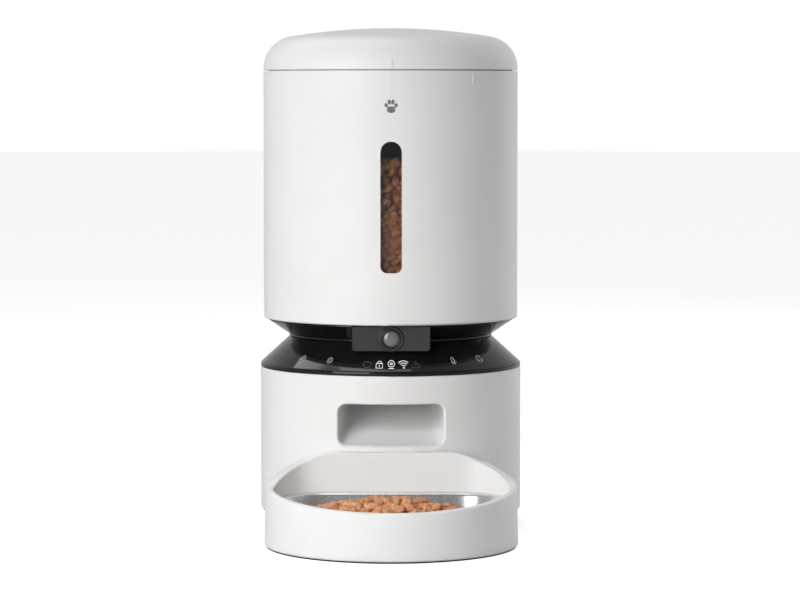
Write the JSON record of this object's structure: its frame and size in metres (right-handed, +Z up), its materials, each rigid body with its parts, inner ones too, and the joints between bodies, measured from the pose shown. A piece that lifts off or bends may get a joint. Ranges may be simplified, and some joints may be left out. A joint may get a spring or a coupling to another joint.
{
  "type": "automatic pet feeder",
  "caption": "Round automatic pet food dispenser: domed lid, food tank with window, camera, touch ring, rotor, chute and a steel bowl in a draw-off tray.",
  "frame": {"origin": "on the floor under the tank's axis, in the middle of the foot ring", "axes": "+Z up along the tank's axis, the bowl and camera face -Y, +X is to the right seen from the front"},
  "size_m": [0.194, 0.3085, 0.3688],
  "materials": {
    "white_shell": "fine satin moulding",
    "white_inner": "satin",
    "gloss_black": "high gloss",
    "black_base": "fine texture",
    "camera_black": "satin",
    "lens_dark": "gloss",
    "lens_glass": "coated",
    "funnel_black": "satin",
    "rotor_grey": "satin",
    "rubber_black": "matt",
    "rubber_clear": "silicone",
    "smoked_window": "smoky",
    "bowl_steel": "fine brushed",
    "bright_steel": "plated",
    "motor_case": "plated",
    "bush_brass": "turned",
    "gear_white": "natural acetal",
    "gearbox_grey": "satin",
    "board_green": "lacquer",
    "speaker_black": "paper and steel",
    "sensor_dark": "gloss",
    "inlet_metal": "plated",
    "button_white": "satin",
    "magnet_nickel": "plated",
    "sachet_paper": "paper"
  },
  "bodies": {
    "base": {"base_shell": "white_shell", "base_plate": "black_base", "foot_ring": "rubber_black", "battery_contacts": "bright_steel", "base_screws": "bright_steel", "control_ring": "gloss_black", "upper_neck": "gloss_black", "camera_housing": "camera_black", "lens_bezel": "camera_black", "lens_barrel": "lens_dark", "lens_glass": "lens_glass", "camera_board": "board_green", "rotor_cup": "funnel_black", "drive_bush": "bush_brass", "outlet_shield": "funnel_black", "idler_pin": "bright_steel", "gearbox_case": "gearbox_grey", "gearbox_cover": "gearbox_grey", "motor": "motor_case", "chute": "white_inner", "base_deck": "black_base", "cup_screws": "bright_steel", "touch_board": "board_green", "main_board": "board_green", "board_posts": "gearbox_grey", "speaker": "speaker_black", "chute_sensors": "sensor_dark", "rear_panel": "black_base", "power_inlet": "inlet_metal", "base_magnets": "magnet_nickel"},
    "rotor": {"drive_shaft": "bright_steel", "rotor_wheel": "rotor_grey", "rotor_tips": "rubber_clear", "stirrer": "rotor_grey", "output_gear": "gear_white"},
    "idler": {"idler_gear": "gear_white"},
    "pinion": {"motor_pinion": "bright_steel"},
    "tank": {"tank_shell": "white_shell", "tank_window": "smoked_window", "window_seal": "rubber_clear", "hopper_funnel": "funnel_black"},
    "plug": {"lid_liner": "white_inner", "lid_seal": "rubber_clear", "desiccant_cup": "white_inner", "desiccant_pack": "sachet_paper"},
    "lid": {"lid_shell": "white_shell", "lid_pivot_screw": "bright_steel"},
    "dryer_cover": {"desiccant_cover": "white_inner"},
    "tray": {"bowl_tray": "white_shell", "tray_magnets": "magnet_nickel", "tray_pads": "rubber_black"},
    "bowl": {"steel_bowl": "bowl_steel"},
    "door": {"battery_door": "black_base"},
    "button": {"power_button": "button_white"}
  },
  "joints": [
    {"name": "rotor_spin", "type": "hinge", "parent": "base", "child": "rotor", "pos_m": [0, 0, 0.125], "axis": [0, 0, 1], "continuous": true},
    {"name": "idler_spin", "type": "hinge", "parent": "base", "child": "idler", "pos_m": [0, 0.02625, 0.088], "axis": [0, 0, 1], "continuous": true},
    {"name": "pinion_spin", "type": "hinge", "parent": "base", "child": "pinion", "pos_m": [0.02425, 0.02625, 0.084], "axis": [0, 0, 1], "continuous": true},
    {"name": "tank_lift", "type": "slide", "parent": "base", "child": "tank", "axis": [0, 0, 1], "range_m": [0, 0.07]},
    {"name": "lid_lift", "type": "slide", "parent": "tank", "child": "plug", "axis": [0, 0, 1], "range_m": [0, 0.06]},
    {"name": "lid_twist", "type": "hinge", "parent": "plug", "child": "lid", "pos_m": [0, 0, 0.35], "axis": [0, 0, 1], "range_deg": [0, 41]},
    {"name": "dryer_cover_pull", "type": "slide", "parent": "plug", "child": "dryer_cover", "axis": [0, 0, -1], "range_m": [0, 0.025]},
    {"name": "tray_slide", "type": "slide", "parent": "base", "child": "tray", "axis": [0, -1, 0], "range_m": [0, 0.06]},
    {"name": "bowl_lift", "type": "slide", "parent": "tray", "child": "bowl", "axis": [0, 0, 1], "range_m": [0, 0.06]},
    {"name": "battery_door_hinge", "type": "hinge", "parent": "base", "child": "door", "pos_m": [0, 0.0434, 0.0033], "axis": [1, 0, 0], "range_deg": [0, 90]},
    {"name": "power_button_press", "type": "slide", "parent": "base", "child": "button", "axis": [0, -1, 0], "range_m": [0, 0.0012], "stiffness_N_per_m": 600}
  ],
  "couplings": [
    {"joint": "idler_spin", "follows": "rotor_spin", "ratio": -3.3333},
    {"joint": "pinion_spin", "follows": "rotor_spin", "ratio": 10}
  ]
}
